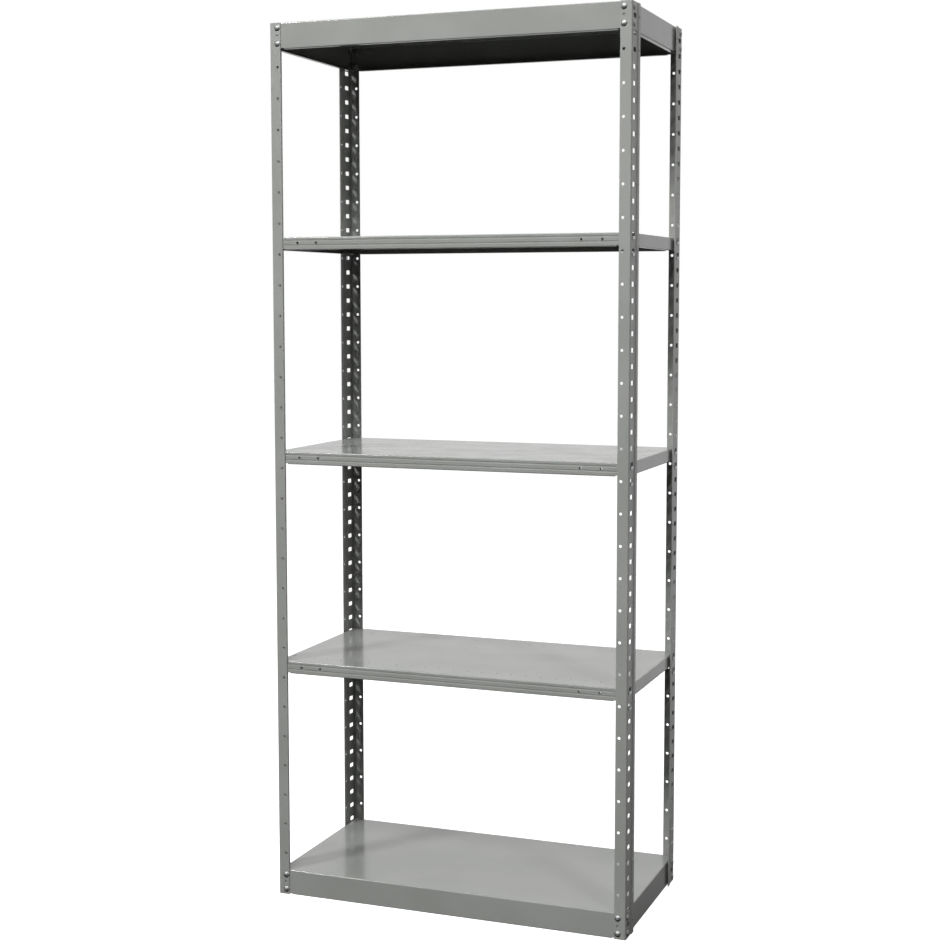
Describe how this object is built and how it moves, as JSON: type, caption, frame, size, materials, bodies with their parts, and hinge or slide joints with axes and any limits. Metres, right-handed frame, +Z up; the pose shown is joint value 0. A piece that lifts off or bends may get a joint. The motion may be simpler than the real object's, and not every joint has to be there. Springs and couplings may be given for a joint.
{
  "type": "boltless steel shelving unit",
  "caption": "Free-standing steel shelving: perforated angle posts, deep-flanged top and bottom shelves, and adjustable shelves hung on slot clips.",
  "frame": {"origin": "middle of the footprint, on the floor", "axes": "+Z up along the posts, +X to the right along the shelves, +Y to the back"},
  "size_m": [0.929, 0.468, 2.1971],
  "materials": {
    "post_enamel": "baked grey enamel, semi-gloss",
    "shelf_enamel": "baked grey enamel, glossy",
    "clip_steel": "zinc-plated spring steel",
    "zinc": "bright zinc plate"
  },
  "bodies": {
    "frame": {"post_front_left": "post_enamel", "post_front_right": "post_enamel", "post_rear_left": "post_enamel", "post_rear_right": "post_enamel", "top_shelf": "shelf_enamel", "bottom_shelf": "shelf_enamel", "clip_upper_front_left": "clip_steel", "clip_upper_front_right": "clip_steel", "clip_upper_rear_left": "clip_steel", "clip_upper_rear_right": "clip_steel", "clip_middle_front_left": "clip_steel", "clip_middle_front_right": "clip_steel", "clip_middle_rear_left": "clip_steel", "clip_middle_rear_right": "clip_steel", "clip_lower_front_left": "clip_steel", "clip_lower_front_right": "clip_steel", "clip_lower_rear_left": "clip_steel", "clip_lower_rear_right": "clip_steel", "bolts_top_front_left": "zinc", "bolts_top_front_right": "zinc", "bolts_top_rear_left": "zinc", "bolts_top_rear_right": "zinc", "bolts_bottom_front_left": "zinc", "bolts_bottom_front_right": "zinc", "bolts_bottom_rear_left": "zinc", "bolts_bottom_rear_right": "zinc", "nuts_top_front_left": "zinc", "nuts_top_front_right": "zinc", "nuts_top_rear_left": "zinc", "nuts_top_rear_right": "zinc", "nuts_bottom_front_left": "zinc", "nuts_bottom_front_right": "zinc", "nuts_bottom_rear_left": "zinc", "nuts_bottom_rear_right": "zinc"},
    "upper_shelf": {"upper_shelf": "shelf_enamel"},
    "middle_shelf": {"middle_shelf": "shelf_enamel"},
    "lower_shelf": {"lower_shelf": "shelf_enamel"}
  },
  "joints": [
    {"name": "upper_shelf_lift", "type": "slide", "parent": "frame", "child": "upper_shelf", "axis": [0, 0, 1], "range_m": [0, 0.4572]},
    {"name": "middle_shelf_lift", "type": "slide", "parent": "frame", "child": "middle_shelf", "axis": [0, 0, 1], "range_m": [0, 0.4953]},
    {"name": "lower_shelf_lift", "type": "slide", "parent": "frame", "child": "lower_shelf", "axis": [0, 0, 1], "range_m": [0, 0.4953]}
  ]
}
